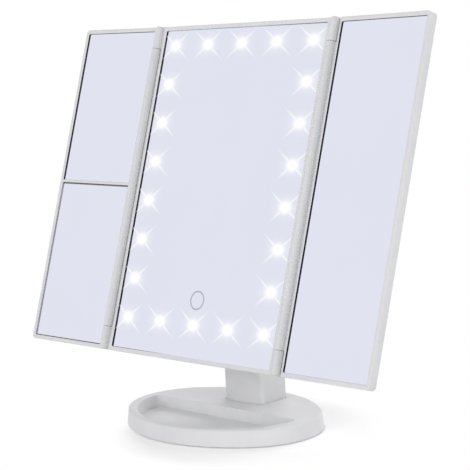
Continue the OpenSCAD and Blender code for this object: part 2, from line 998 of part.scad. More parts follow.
// Recess of the sliding door, with grooves under its edges for the tongues
module door_cut() {
    seat = bulge_t - door_t - 0.1;
    box(-door_x - slack, door_x + slack, seat, bulge_t + 1, door_low, bulge_high + 1);
    for (s = [-1, 1])
        box(s > 0 ? door_x - 1 : -door_x - tongue_w - slack, s > 0 ? door_x + tongue_w + slack : -door_x + 1,
            seat, seat + tongue_t + 0.1 + slack, tongues[0] - slack,
            tongues[1] + tongue_l + door_travel + slack);
    for (s = [-1, 1], z = tongues)
        box(s > 0 ? door_x - 1 : -door_x - tongue_w - slack, s > 0 ? door_x + tongue_w + slack : -door_x + 1,
            seat, bulge_t + 1, z + door_travel - slack, z + door_travel + tongue_l + slack);
}

module battery_door() {
    seat = bulge_t - door_t;
    color(shell_white)
        at_panel()
            difference() {
                union() {
                    box(-door_x, door_x, seat + 0.2, bulge_t, door_low + slack, bulge_high);
                    for (s = [-1, 1], z = tongues)
                        box(s > 0 ? door_x - 1 : -door_x - tongue_w, s > 0 ? door_x + tongue_w : -door_x + 1,
                            seat + 0.2, seat + 0.2 + tongue_t, z, z + tongue_l);
                }
                for (i = [0 : 4])
                    box(-9, 9, bulge_t - 0.5, bulge_t + 1, bulge_high - 16 + 2.4 * i,
                        bulge_high - 14.8 + 2.4 * i);
            }
}

module battery_cells() {
    mid = bay_floor + 1.2 + cell_d / 2;
    color(cell_grey)
        at_panel()
            for (i = [0 : cells - 1])
                translate([(i - (cells - 1) / 2) * cell_d, mid, 0])
                    mirror([0, 0, i % 2])
                        translate([0, 0, i % 2 == 0 ? bay_low + 3 : -bay_low - 3 - cell_l])
                            union() {
                                cylinder(r = cell_d / 2 - 0.1, h = cell_l - 1.2);
                                cylinder(r = 2.6, h = cell_l);
                            }
}

// A flat contact at each cell's nub and a stepped spring at its other end
module battery_contacts() {
    mid = bay_floor + 1.2 + cell_d / 2;
    color(steel_grey)
        at_panel()
            for (i = [0 : cells - 1])
                translate([(i - (cells - 1) / 2) * cell_d, mid, 0]) {
                    spring_z = i % 2 == 0 ? bay_low : bay_low + 3 + cell_l;
                    plate_z = i % 2 == 0 ? bay_low + 3 + cell_l : bay_low + 2.6;
                    translate([0, 0, spring_z])
                        cylinder(r = 3.6, h = 3 - (i % 2 == 0 ? 0 : 0.5));
                    translate([-5, -5, plate_z])
                        cube([10, 10, 0.4]);
                }
}

module housing_screws() {
    color(steel_grey)
        at_panel()
            for (s = [-1, 1], z = frame_screw_z) {
                through(s * frame_screw_x, z, frame_back - 3.6, centre_t - 0.9, small_screw_r);
                through(s * frame_screw_x, z, centre_t - head_h + 0.4, centre_t - 0.1, small_head_r);
            }
}

module hinge_pins() {
    inset = 0.6;
    color(steel_grey)
        at_panel()
            for (s = [-1, 1]) {
                centre_knuckle(s, inset, knuckle_end + pin_reach, pin_r);
                centre_knuckle(s, panel_h - knuckle_end - pin_reach, panel_h - inset, pin_r);
            }
}

// ---------------------------------------------------------------- side panels
// Drawn as the right-hand panel: X runs from the fold axis to the free edge

module side_window(z0, z1) {
    rounded_rect(side_open, side_w - border + 0.2, z0, z1, 1);
}

// Outline of one mirror between two heights
module side_glass(z0, z1) {
    slab(glass_front, glass_back)
        rounded_rect(side_glass_in, side_glass_out, z0, z1, glass_corner);
}

tab_z = [32, 95, 158, 221];

// A row of boxes from x0 to x1 where the back cover's tabs catch in the frame
module tab_row(x0, x1) {
    tab_half = 4;
    for (z = tab_z)
        box(x0, x1, side_frame_back - 1.4, side_frame_back - 0.5, z - tab_half, z + tab_half);
}

module side_frame(split) {
    bore_h = pin_reach + 0.5;
    difference() {
        union() {
            difference() {
                slab(0, side_frame_back)
                    rounded_rect(slack, side_w, 0, panel_h, corner_r);
                for (z = [-1, barrel_high])
                    translate([0, -axis_front, z])
                        cylinder(r = groove_r, h = barrel_low + 1);
            }
            translate([0, -axis_front, barrel_low])
                cylinder(r = knuckle_r, h = barrel_high - barrel_low);
        }
        if (split) {
            slab(-1, glass_front + 1)
                side_window(border, divider_z - divider_w / 2);
            slab(-1, glass_front + 1)
                side_window(divider_z + divider_w / 2, panel_h - border);
        } else {
            slab(-1, glass_front + 1)
                side_window(border, panel_h - border);
        }
        slab(glass_front, side_frame_back + 1)
            rounded_rect(side_glass_in - 0.2, side_w - side_wall, wall_top, panel_h - wall_top,
                glass_corner);
        tab_row(side_w - side_wall - 1, side_w - side_wall + 0.6);
        for (z = [barrel_low - 1, barrel_high - bore_h])
            translate([0, -axis_front, z])
                cylinder(r = pin_r + running, h = bore_h + 1);
    }
}

module side_cover() {
    lip = side_w - side_wall - slack;
    lip_t = 1.4;
    rib = 0.8;
    slab(side_frame_back, side_t)
        rounded_rect(slack, side_w, 0, panel_h, corner_r);
    difference() {
        slab(glass_back, side_frame_back + 0.5)
            rounded_rect(side_glass_in + 0.1, lip, wall_top + slack, panel_h - wall_top - slack,
                glass_corner);
        slab(glass_back - 1, side_frame_back)
            rounded_rect(side_glass_in + 0.1 + lip_t, lip - lip_t, wall_top + slack + lip_t,
                panel_h - wall_top - slack - lip_t, glass_corner);
    }
    tab_row(lip - 1, side_w - side_wall + 0.6);
    // stiffening ribs on the inside
    for (z = [70, 180])
        box(side_glass_in + 1, lip - 1, side_frame_back - 0.6, side_frame_back + 0.5, z - rib, z + rib);
}

module side_pad() {
    slab(glass_back, side_frame_back - 0.6)
        rounded_rect(12, side_w - 10, 10, panel_h - 10, 2);
}

module left_frame() {
    color(shell_white)
        at_side(-1)
            side_frame(true);
}

module left_upper_mirror() {
    color(mirror_blue)
        at_side(-1)
            side_glass(divider_z + divider_gap, panel_h - glass_edge);
}

module left_lower_mirror() {
    color(mirror_blue)
        at_side(-1)
            side_glass(glass_edge, divider_z - divider_gap);
}

module left_foam_pad() {
    color(foam_grey)
        at_side(-1)
            side_pad();
}

module left_cover() {
    color(shell_white)
        at_side(-1)
            side_cover();
}

module right_frame() {
    color(shell_white)
        at_side(1)
            side_frame(false);
}

module right_mirror() {
    color(mirror_blue)
        at_side(1)
            side_glass(glass_edge, panel_h - glass_edge);
}

module right_foam_pad() {
    color(foam_grey)
        at_side(1)
            side_pad();
}

module right_cover() {
    color(shell_white)
        at_side(1)
            side_cover();
}

base_shell();
base_cover();
ballast_plate();
base_feet();
base_screws();
neck_column();
neck_rear_cover();
neck_cover_screws();
neck_foot_screws();
axle_bushing();
tilt_axle();
friction_washers();
axle_nut();
tilt_bracket();
bracket_screws();
centre_frame();
centre_mirror();
light_windows();
touch_ring();
led_board();
leds();
touch_sensor();
control_board();
board_components();
board_screws();
usb_socket();
switch_case();
switch_slider();
rear_housing();
housing_screws();
battery_cells();
battery_contacts();
battery_door();
hinge_pins();
left_frame();
left_upper_mirror();
left_lower_mirror();
left_foam_pad();
left_cover();
right_frame();
right_mirror();
right_foam_pad();
right_cover();
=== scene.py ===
import math
import bmesh
import bpy
from mathutils import Matrix, Vector


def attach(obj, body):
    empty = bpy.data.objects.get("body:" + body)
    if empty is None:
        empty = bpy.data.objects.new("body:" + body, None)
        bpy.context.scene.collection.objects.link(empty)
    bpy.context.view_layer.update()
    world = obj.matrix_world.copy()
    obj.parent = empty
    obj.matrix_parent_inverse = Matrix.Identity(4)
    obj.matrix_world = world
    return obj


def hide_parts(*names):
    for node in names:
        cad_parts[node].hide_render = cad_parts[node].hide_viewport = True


# Trifold vanity mirror: materials, screws, floor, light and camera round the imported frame.
# Lengths are metres unless a name ends in _MM or _mm. +Z is up and the user is on the -Y side.

MM = 0.001

# ---------------------------------------------------------------- sizes shared with the part
LEAN = math.radians(18.33)
FOLD = math.radians(2.0)
HALF_SPAN_MM = 88.0
AXIS_FRONT_MM = 0.8
NECK_Y_MM = 35.1
PIVOT_Z_MM = 131.7
PIVOT_BACK_MM = 42.5
PIVOT_UP_MM = 96.3
PANEL_H_MM = 250.0
BORDER_MM = 3.0
CENTRE_OPEN_MM = 81.0
SIDE_OPEN_MM = (5.6, 80.8)
DIVIDER_Z_MM = 127.0
DIVIDER_HALF_MM = 1.0
REVEAL_MM = 1.0
GLASS_T_MM = 2.0
CENTRE_T_MM = 10.0
BULGE_MM = 22.0
NECK_BACK_MM = NECK_Y_MM + 16.9
COVER_SCREW_Z_MM = (30.0, 71.7)
HOUSING_SCREW_X_MM = 85.5
HOUSING_SCREW_Z_MM = (30, 93, 157, 220)
COVER_LOW_MM = 0.8
FLOOR_MM = 2.1
BASE_SCREWS_MM = ((-52, 38), (52, 38), (-66, 14), (66, 14), (-75.4, -4), (75.4, -4))
LIGHT_PITCH_U_MM = 34.75
LIGHT_LOW_MM = 26.5
LIGHT_PITCH_V_MM = 208.5 / 7
LIGHT_LAST_U = 2
LIGHT_LAST_V = 7

# ---------------------------------------------------------------- painted glow round each light window
GLOW_U_MM = 7.0
GLOW_V_MM = 5.4
# where each part fades out and is full, in glow radii or ray lengths; then its two levels
GLOW_CORE = (1.45, 0.2)
GLOW_SKIRT = (2.2, 0.7, 0.0, 0.18)
GLOW_RAY = (1.0, 0.35, 0.0, 0.6)
# a ray's angle in the panel in degrees, and its half length in millimetres
RAYS = ((40.0, 22.0), (-35.0, 25.5))
RAY_SLIM = 9.0  # a ray's half length over its half width at the root
# strength of the glow painted as emission on the centre mirror's silver
PAINTED_GLOW_LEVEL = 1.05

# ---------------------------------------------------------------- colours, scene linear
PLASTIC = (0.765, 0.765, 0.775)
PLASTIC_SHADE = (0.735, 0.737, 0.752)
MIRROR = (0.752, 0.776, 0.871)
SHADOW_LINE = (0.012, 0.012, 0.016)
PLASTIC_ROUGH = 0.4
# how dark the shade painted on each hinge barrel's right flank is, as a factor
GROOVE_SHADE = 0.9
GLASS_EDGE = (0.10, 0.14, 0.14)
MIRROR_BACK = (0.16, 0.16, 0.17)
GLOW = (1.0, 1.0, 0.985)
RING = (0.47, 0.47, 0.55)
STEEL = (0.56, 0.57, 0.58)
BRUSHED = (1.0, 1.0, 22.0)  # how far the lines of the polish are squeezed along each axis
BRASS = (0.72, 0.52, 0.22)
RUBBER = (0.055, 0.055, 0.058)
BOARD = (0.02, 0.16, 0.08)
COPPER = (0.45, 0.62, 0.30)
FOAM = (0.14, 0.14, 0.15)
COMPONENT = (0.03, 0.03, 0.032)
CELL_JACKET = (0.22, 0.24, 0.28)


def toned(colour, factor, most=1.0):
    """The colour made lighter or darker by a factor, with no channel above most."""
    return tuple(min(most, factor * c) for c in colour)


def axes(side):
    """Origin in metres and unit vectors (across, up, back) of a panel: -1 left, 0 centre,
    1 right."""
    up = Vector((0, math.sin(LEAN), math.cos(LEAN)))
    back = Vector((0, math.cos(LEAN), -math.sin(LEAN)))
    pivot = Vector((0, NECK_Y_MM, PIVOT_Z_MM)) * MM
    origin = pivot - back * PIVOT_BACK_MM * MM - up * PIVOT_UP_MM * MM
    if side == 0:
        return origin, Vector((1, 0, 0)), up, back
    out = Vector((side, 0, 0))
    across = out * math.cos(FOLD) - back * math.sin(FOLD)
    depth = out * math.sin(FOLD) + back * math.cos(FOLD)
    origin = origin + (out * HALF_SPAN_MM - back * AXIS_FRONT_MM + depth * AXIS_FRONT_MM) * MM
    return origin, across, up, depth


# ---------------------------------------------------------------- node graphs

class Graph:
    """One node material. Calls return sockets; a number or a colour may stand for any input."""

    def __init__(self, name):
        self.material = bpy.data.materials.new(name)
        self.material.use_nodes = True
        self.tree = self.material.node_tree
        self.tree.nodes.clear()
        self.out = self.tree.nodes.new("ShaderNodeOutputMaterial")
        self.place = self.add("ShaderNodeTexCoord").outputs["Object"]

    def add(self, kind, **settings):
        node = self.tree.nodes.new(kind)
        for key, value in settings.items():
            setattr(node, key, value)
        return node

    def put(self, value, socket):
        if isinstance(value, bpy.types.NodeSocket):
            self.tree.links.new(value, socket)
        elif socket.type == "RGBA" and len(value) == 3:
            socket.default_value = (*value, 1.0)
        else:
            socket.default_value = value

    def maths(self, operation, a, b=0.0, c=0.0):
        node = self.add("ShaderNodeMath", operation=operation)
        for value, socket in zip((a, b, c), node.inputs):
            self.put(value, socket)
        return node.outputs[0]

    def vector(self, operation, a, b, output="Vector"):
        node = self.add("ShaderNodeVectorMath", operation=operation)
        self.put(a, node.inputs[0])
        self.put(b, node.inputs[1])
        return node.outputs[output]

    def panel(self, side):
        """Across, up and depth behind the front face, in millimetres, of the panel's own frame."""
        origin, across, up, back = axes(side)
        local = self.vector("SUBTRACT", self.place, origin)
        return [self.vector("DOT_PRODUCT", local, v / MM, "Value") for v in (across, up, back)]

    def step(self, value, low, high, to_low=0.0, to_high=1.0):
        """Smooth step: to_low below low, to_high above high."""
        node = self.add("ShaderNodeMapRange", interpolation_type="SMOOTHSTEP")
        for v, socket in zip((value, low, high, to_low, to_high), node.inputs):
            self.put(v, socket)
        return node.outputs[0]

    def noise(self, scale, detail=3.0, roughness=0.5, vector=None, distortion=0.0):
        node = self.add("ShaderNodeTexNoise")
        self.put(vector or self.place, node.inputs["Vector"])
        node.inputs["Scale"].default_value = scale
        node.inputs["Detail"].default_value = detail
        node.inputs["Roughness"].default_value = roughness
        node.inputs["Distortion"].default_value = distortion
        return node.outputs["Fac"]

    def mix(self, factor, a, b):
        node = self.add("ShaderNodeMix", data_type="RGBA")
        self.put(factor, node.inputs[0])
        self.put(a, node.inputs[6])
        self.put(b, node.inputs[7])
        return node.outputs[2]

    def blend(self, factor, a, b):
        node = self.add("ShaderNodeMixShader")
        for value, socket in zip((factor, a, b), node.inputs):
            self.put(value, socket)
        return node.outputs[0]

    def bump(self, height, distance_mm, normal=None, strength=1.0):
        node = self.add("ShaderNodeBump")
        node.inputs["Strength"].default_value = strength
        node.inputs["Distance"].default_value = distance_mm * MM
        self.put(height, node.inputs["Height"])
        if normal is not None:
            self.put(normal, node.inputs["Normal"])
        return node.outputs["Normal"]

    def surface(self, **inputs):
        node = self.add("ShaderNodeBsdfPrincipled")
        for key, value in inputs.items():
            self.put(value, node.inputs[key.replace("_", " ")])
        return node.outputs[0]

    def finish(self, shader):
        self.tree.links.new(shader, self.out.inputs["Surface"])
        self.material.cycles.emission_sampling = "NONE"
        return self.material


def soft_edge(g, radius_mm):
    """(rounded normal, edge mask): the mask is 1 on a sharp edge and 0 on open surface."""
    rounded = g.add("ShaderNodeBevel", samples=6)
    rounded.inputs["Radius"].default_value = radius_mm * MM
    facing = g.vector("DOT_PRODUCT", rounded.outputs[0],
                      g.add("ShaderNodeNewGeometry").outputs["Normal"], "Value")
    return rounded.outputs[0], g.step(facing, 0.975, 0.85)


class ShadowSeam:
    """The painted shadow line along one side of a mirror opening: its width on the glass, how dark
    it is, and the stretch of the panel's width over which it fades in."""

    def __init__(self, width=0.45, strength=1.0, fade=None):
        self.width, self.strength, self.fade = width, strength, fade

    def level(self, g, across):
        if self.fade is None:
            return self.strength
        return g.step(across, *self.fade, 0.0, self.strength)


class Opening:
    """One mirror opening in its panel's millimetres, with the painted shadow lines of its four
    sides:
    across low and high, then up low and high."""

    def __init__(self, across, up, *shadow_seams):
        self.across, self.up, self.shadow_seams = across, up, shadow_seams

    def sides(self, g, across, up):
        """Distance inside each of the four sides."""
        return (g.maths("SUBTRACT", across, self.across[0]),
                g.maths("SUBTRACT", self.across[1], across),
                g.maths("SUBTRACT", up, self.up[0]),
                g.maths("SUBTRACT", self.up[1], up))

    def glass_shadow(self, g, across, up):
        """Mask of the shadow lines painted on the glass."""
        line = 0.0
        for shadow_seam, inside in zip(self.shadow_seams, self.sides(g, across, up)):
            edge = g.step(inside, shadow_seam.width, 0.4 * shadow_seam.width)
            line = g.maths("MAXIMUM", line, g.maths("MULTIPLY", edge, shadow_seam.level(g, across)))
        return line

    def wall_shadow(self, g, across, up):
        """Mask of the shadow lines painted on the walls of the opening."""
        sides = self.sides(g, across, up)
        inside = g.maths("MINIMUM", g.maths("MINIMUM", *sides[:2]), g.maths("MINIMUM", *sides[2:]))
        line = 0.0
        for shadow_seam, distance in zip(self.shadow_seams, sides):
            wall = g.step(g.maths("ABSOLUTE", distance), 0.25, 0.12)
            line = g.maths("MAXIMUM", line, g.maths("MULTIPLY", wall, shadow_seam.level(g, across)))
        return g.maths("MULTIPLY", line, g.step(inside, -0.4, -0.3))


TOP_MM = PANEL_H_MM - BORDER_MM
# the shadow line painted along each side of each mirror opening: width on the glass, darkness, fade
CENTRE_OPENING = Opening((-CENTRE_OPEN_MM, CENTRE_OPEN_MM), (BORDER_MM, TOP_MM),
                         ShadowSeam(0.6), ShadowSeam(0.3, 0.3),
                         ShadowSeam(0.5, 0.9, (-5.0, -60.0)), ShadowSeam(0.4, 0.5, (15.0, 70.0)))
RIGHT_OPENING = Opening(SIDE_OPEN_MM, (BORDER_MM, TOP_MM),
                        ShadowSeam(0.4), ShadowSeam(0.35, 0.5), ShadowSeam(0.4, 0.3), ShadowSeam(0.45, 0.55))
UPPER_OPENING = Opening(SIDE_OPEN_MM, (DIVIDER_Z_MM + DIVIDER_HALF_MM, TOP_MM),
                        ShadowSeam(0.3, 0.3), ShadowSeam(0.5, 0.95), ShadowSeam(0.4, 0.35), ShadowSeam(0.45, 0.6))
LOWER_OPENING = Opening(SIDE_OPEN_MM, (BORDER_MM, DIVIDER_Z_MM - DIVIDER_HALF_MM),
                        ShadowSeam(0.3, 0.3), ShadowSeam(0.3, 0.1), ShadowSeam(0.9), ShadowSeam(1.5, 0.9))


# ---------------------------------------------------------------- materials

def flank_shade_mask(g, offset):
    """Mask of the shade painted on a hinge barrel's right-hand flank, which sits in the groove
    beside the border; offset is the place across the barrel's axis, in millimetres."""
    return g.maths("MULTIPLY", g.step(offset, -0.5, 2.5), g.step(offset, 5.0, 4.6))


def plastic(name, side=None, windows=()):
    """Moulded satin plastic: faint flow marks, fine skin, softened and slightly worn edges.
    With a side it also paints shade on the right flank of each hinge barrel, and a painted shadow
    on the reveal walls round that panel's windows."""
    g = Graph(name)
    rounded, edge = soft_edge(g, 0.35)
    flow = g.noise(38.0, 4.0, 0.55, distortion=0.6)
    mottle = g.noise(420.0, 3.0, 0.6)
    body = g.mix(g.step(flow, 0.35, 0.68), PLASTIC, PLASTIC_SHADE)
    speck = g.maths("MULTIPLY", g.step(mottle, 0.55, 0.75), 0.035)
    body = g.mix(speck, body, toned(PLASTIC_SHADE, 0.9))
    worn = g.maths("MULTIPLY", edge, g.step(g.noise(260.0, 2.0), 0.35, 0.65, 0.25, 0.8))
    body = g.mix(worn, body, toned(PLASTIC, 1.07, 0.86))
    rough = g.maths("ADD", PLASTIC_ROUGH, g.maths("MULTIPLY", mottle, 0.09))
    rough = g.maths("SUBTRACT", rough, g.maths("MULTIPLY", worn, 0.05))
    skin = g.bump(g.noise(1300.0, 2.0, 0.5), 0.004, rounded)
    skin = g.bump(flow, 0.03, skin, 0.5)
    if side is not None:
        across, up, back = g.panel(side)
        # painted shade on the right flank of each hinge barrel
        if side == 0:
            flank_shade = g.maths("MAXIMUM", *(flank_shade_mask(g, g.maths("SUBTRACT", across, x))
                                         for x in (-HALF_SPAN_MM, HALF_SPAN_MM)))
        else:
            flank_shade = flank_shade_mask(g, g.maths("MULTIPLY", across, float(side)))
        body = g.mix(flank_shade, body, toned(PLASTIC_SHADE, GROOVE_SHADE))
        # painted shadow on the reveal walls round the windows
        line = 0.0
        for window in windows:
            line = g.maths("MAXIMUM", line, window.wall_shadow(g, across, up))
        body = g.mix(g.maths("MULTIPLY", line, g.step(back, 0.02, 0.14)), body, SHADOW_LINE)
    return g.finish(g.surface(Base_Color=body, Roughness=rough, Normal=skin, IOR=1.46,
                              Coat_Weight=0.06, Coat_Roughness=0.3))


def painted_window_glow(g, across, up):
    """Mask of the painted glow, its core, skirt and star rays, round each light window of the
    perimeter grid.
    """
    step_u = g.maths("ROUND", g.maths("DIVIDE", across, LIGHT_PITCH_U_MM))
    step_u = g.maths("MINIMUM", step_u, float(LIGHT_LAST_U))
    step_u = g.maths("MAXIMUM", step_u, float(-LIGHT_LAST_U))
    high = g.maths("SUBTRACT", up, LIGHT_LOW_MM)
    step_v = g.maths("ROUND", g.maths("DIVIDE", high, LIGHT_PITCH_V_MM))
    step_v = g.maths("MAXIMUM", g.maths("MINIMUM", step_v, float(LIGHT_LAST_V)), 0.0)
    du = g.maths("SUBTRACT", across, g.maths("MULTIPLY", step_u, LIGHT_PITCH_U_MM))
    dv = g.maths("SUBTRACT", high, g.maths("MULTIPLY", step_v, LIGHT_PITCH_V_MM))
    # a cell is lit where it is in the outer ring of the grid
    side_on = g.step(g.maths("ABSOLUTE", step_u), LIGHT_LAST_U - 0.6, LIGHT_LAST_U - 0.4)
    middle = (LIGHT_LAST_V - 1) / 2
    row = g.maths("ABSOLUTE", g.maths("SUBTRACT", step_v, LIGHT_LAST_V / 2))
    row_on = g.step(row, middle + 0.2, middle + 0.3)
    lit = g.maths("MAXIMUM", side_on, row_on)
    spread = g.maths("SQRT", g.maths("ADD",
                     g.maths("POWER", g.maths("ABSOLUTE", g.maths("DIVIDE", du, GLOW_U_MM)), 2.0),
                     g.maths("POWER", g.maths("ABSOLUTE", g.maths("DIVIDE", dv, GLOW_V_MM)), 2.0)))
    core = g.step(spread, *GLOW_CORE)
    skirt = g.step(spread, *GLOW_SKIRT)
    # place = a * first ray + b * second; a ray is a slim diamond, so |a| + slim * |b| < 1
    (ax, ay), (bx, by) = [
        (reach * math.cos(math.radians(turn)), reach * math.sin(math.radians(turn)))
        for turn, reach in RAYS]
    area = ax * by - ay * bx
    shares = []
    for x, y in ((by, -bx), (-ay, ax)):
        share = g.maths("ADD", g.maths("MULTIPLY", du, x / area), g.maths("MULTIPLY", dv, y / area))
        shares.append(g.maths("ABSOLUTE", share))
    diamonds = [g.maths("ADD", shares[i], g.maths("MULTIPLY", shares[1 - i], RAY_SLIM))
                for i in (0, 1)]
    rays = g.step(g.maths("MINIMUM", *diamonds), *GLOW_RAY)
    painted_glow = g.maths("MAXIMUM", core, g.maths("MAXIMUM", skirt, rays))
    return g.maths("MULTIPLY", painted_glow, lit)


def mirror(name, side, window):
    """Silvered glass: mirror face, painted shadow line where it meets the frame, glass edge,
    painted back; on the centre glass, a painted glow with star rays round each light window.
    """
    g = Graph(name)
    across, up, back = g.panel(side)
    face = g.step(back, REVEAL_MM + 0.08, REVEAL_MM + 0.02)
    rear = g.step(back, REVEAL_MM + GLASS_T_MM - 0.06, REVEAL_MM + GLASS_T_MM - 0.02)
    film = g.noise(14.0, 4.0, 0.6)
    tint = g.mix(g.step(film, 0.3, 0.7), MIRROR, toned(MIRROR, 0.992))
    rough = g.maths("MULTIPLY", g.step(g.noise(60.0, 5.0, 0.65), 0.5, 0.8), 0.03)
    silver = g.surface(Base_Color=tint, Metallic=1.0, Roughness=rough)
    # the painted shadow line where the glass meets the frame
    shadow_seam = g.surface(Base_Color=SHADOW_LINE, Roughness=0.4)
    shown = g.blend(window.glass_shadow(g, across, up), silver, shadow_seam)
    # on the centre glass, a painted glow with star rays round each light window
    if side == 0:
        painted_glow = g.add("ShaderNodeEmission")
        g.put(GLOW, painted_glow.inputs["Color"])
        painted_glow.inputs["Strength"].default_value = PAINTED_GLOW_LEVEL
        shown = g.blend(painted_window_glow(g, across, up), shown, painted_glow.outputs[0])
    grind = g.noise(900.0, 2.0, 0.5)
    glass = g.surface(Base_Color=g.mix(grind, GLASS_EDGE, toned(GLASS_EDGE, 1.5)),
                      Roughness=0.35, Normal=g.bump(grind, 0.02))
    cloud = g.step(g.noise(180.0), 0.4, 0.7)
    paint = g.surface(Base_Color=g.mix(cloud, MIRROR_BACK, toned(MIRROR_BACK, 0.8)), Roughness=0.6)
    sides = g.blend(rear, glass, paint)
    return g.finish(g.blend(face, sides, shown))


def frosted(name):
    """Frosted light window: glowing, with a fine etched grain over it that also varies its light.
    """
    g = Graph(name)
    grain = g.noise(2400.0, 2.0, 0.5)
    light = g.maths("MULTIPLY_ADD", grain, 0.25, 1.15)
    return g.finish(g.surface(Base_Color=g.mix(grain, GLOW, toned(GLOW, 0.97)),
                              Roughness=0.55, Normal=g.bump(grain, 0.01),
                              Emission_Color=GLOW, Emission_Strength=light))


def ring_print(name):
    """Etched ring of the touch key."""
    g = Graph(name)
    grain = g.noise(1800.0, 2.0, 0.5)
    return g.finish(g.surface(Base_Color=g.mix(g.step(grain, 0.35, 0.65), RING, toned(RING, 1.12)),
                              Roughness=0.5, Normal=g.bump(grain, 0.008)))


def metal(name, colour, rough=0.32):
    """Turned or brushed metal: fine lines, a little uneven polish."""
    g = Graph(name)
    rounded, edge = soft_edge(g, 0.12)
    lines = g.noise(1400.0, 3.0, 0.6, g.vector("MULTIPLY", g.place, BRUSHED))
    cloud = g.noise(160.0, 3.0, 0.55)
    tone = g.mix(g.step(cloud, 0.35, 0.7), colour, toned(colour, 0.86))
    tone = g.mix(g.maths("MULTIPLY", edge, 0.6), tone, toned(colour, 1.3, 0.92))
    shine = g.maths("ADD", rough - 0.06, g.maths("MULTIPLY", lines, 0.14))
    return g.finish(g.surface(Base_Color=tone, Metallic=1.0, Roughness=shine,
                              Normal=g.bump(lines, 0.006, rounded)))


def rubber(name):
    """Matt rubber, dusty in patches and paler along its edges."""
    g = Graph(name)
    rounded, edge = soft_edge(g, 0.2)
    grain = g.noise(1500.0, 3.0, 0.6)
    dust = g.step(g.noise(220.0, 4.0, 0.6), 0.5, 0.8, 0.0, 0.35)
    tone = g.mix(dust, RUBBER, toned(RUBBER, 2.2))
    tone = g.mix(g.maths("MULTIPLY", edge, 0.3), tone, toned(RUBBER, 2.6))
    return g.finish(g.surface(Base_Color=tone, Roughness=g.maths("MULTIPLY_ADD", grain, 0.12, 0.66),
                              Normal=g.bump(grain, 0.05, rounded)))


def circuit(name):
    """Solder mask with faint tracks under it."""
    g = Graph(name)
    cells = g.add("ShaderNodeTexVoronoi", feature="DISTANCE_TO_EDGE", distance="MANHATTAN")
    g.put(g.place, cells.inputs["Vector"])
    cells.inputs["Scale"].default_value = 320.0
    track = g.step(cells.outputs["Distance"], 0.09, 0.04, 0.0, 0.35)
    weave = g.noise(2200.0, 2.0)
    return g.finish(g.surface(Base_Color=g.mix(track, BOARD, COPPER),
                              Roughness=g.maths("MULTIPLY_ADD", weave, 0.1, 0.3),
                              Normal=g.bump(g.maths("ADD", track, weave), 0.01)))


def moulded(name, colour, rough):
    """Small dark moulded pieces, such as the electrical components and the battery jackets."""
    g = Graph(name)
    rounded, edge = soft_edge(g, 0.12)
    grain = g.noise(1900.0, 3.0, 0.55)
    cloud = g.noise(90.0, 3.0, 0.5)
    tone = g.mix(g.step(cloud, 0.35, 0.7), colour, toned(colour, 0.8))
    tone = g.mix(g.maths("MULTIPLY", edge, 0.35), tone, toned(colour, 1.6, 0.9))
    return g.finish(g.surface(Base_Color=tone, Roughness=g.maths("MULTIPLY_ADD", grain, 0.1, rough),
                              Normal=g.bump(grain, 0.012, rounded)))


def foam(name):
    """Closed-cell foam pad, pitted by its pores."""
    g = Graph(name)
    cells = g.add("ShaderNodeTexVoronoi", feature="SMOOTH_F1")
    g.put(g.place, cells.inputs["Vector"])
    cells.inputs["Scale"].default_value = 1400.0
    pore = g.step(cells.outputs["Distance"], 0.2, 0.6)
    return g.finish(g.surface(Base_Color=g.mix(pore, toned(FOAM, 0.5), FOAM), Roughness=0.95,
                              Sheen_Weight=0.3, Normal=g.bump(pore, 0.15)))


# ---------------------------------------------------------------- smooth, softened CAD meshes

SMOOTH_ANGLE = math.radians(28.0)
BEVEL_ANGLE = math.radians(32.0)
FLAT_ANGLE = math.radians(0.6)
WELD_GAP = 2e-6
# how far each node's sharp edges are rounded, in millimetres
ROUNDING_MM = {
    "base_shell": 0, "neck_column": 0.25, "neck_rear_cover": 0.2, "tilt_bracket": 0.3,
    "centre_frame": 0.2, "left_frame": 0.2, "right_frame": 0.2, "rear_housing": 0.3,
    "left_cover": 0.3, "right_cover": 0.3, "battery_door": 0.2}


def smoothing_group(angle):
    """Geometry nodes that drop imported normals and smooth the edges below an angle."""
    tree = bpy.data.node_groups.new("smooth_by_angle", "GeometryNodeTree")
    tree.interface.new_socket("Geometry", in_out="INPUT", socket_type="NodeSocketGeometry")
    tree.interface.new_socket("Geometry", in_out="OUTPUT", socket_type="NodeSocketGeometry")
    nodes, links = tree.nodes, tree.links
    source, sink = nodes.new("NodeGroupInput"), nodes.new("NodeGroupOutput")
    drop = nodes.new("GeometryNodeRemoveAttribute")
    drop.inputs["Name"].default_value = "custom_normal"
    edge_angle = nodes.new("GeometryNodeInputMeshEdgeAngle")
    compare = nodes.new("FunctionNodeCompare")
    compare.data_type = "FLOAT"
    compare.operation = "LESS_THAN"
    compare.inputs[1].default_value = angle
    faces = nodes.new("GeometryNodeSetShadeSmooth")
    faces.domain = "FACE"
    edges = nodes.new("GeometryNodeSetShadeSmooth")
    edges.domain = "EDGE"
    links.new(source.outputs[0], drop.inputs[0])
    links.new(drop.outputs[0], faces.inputs[0])
    links.new(faces.outputs[0], edges.inputs[0])
    links.new(edge_angle.outputs["Unsigned Angle"], compare.inputs[0])
    links.new(compare.outputs[0], edges.inputs["Shade Smooth"])
    links.new(edges.outputs[0], sink.inputs[0])
    return tree


SMOOTH = smoothing_group(SMOOTH_ANGLE)


def add_smoothing(obj):
    shade = obj.modifiers.new("shade", "NODES")
    shade.node_group = SMOOTH


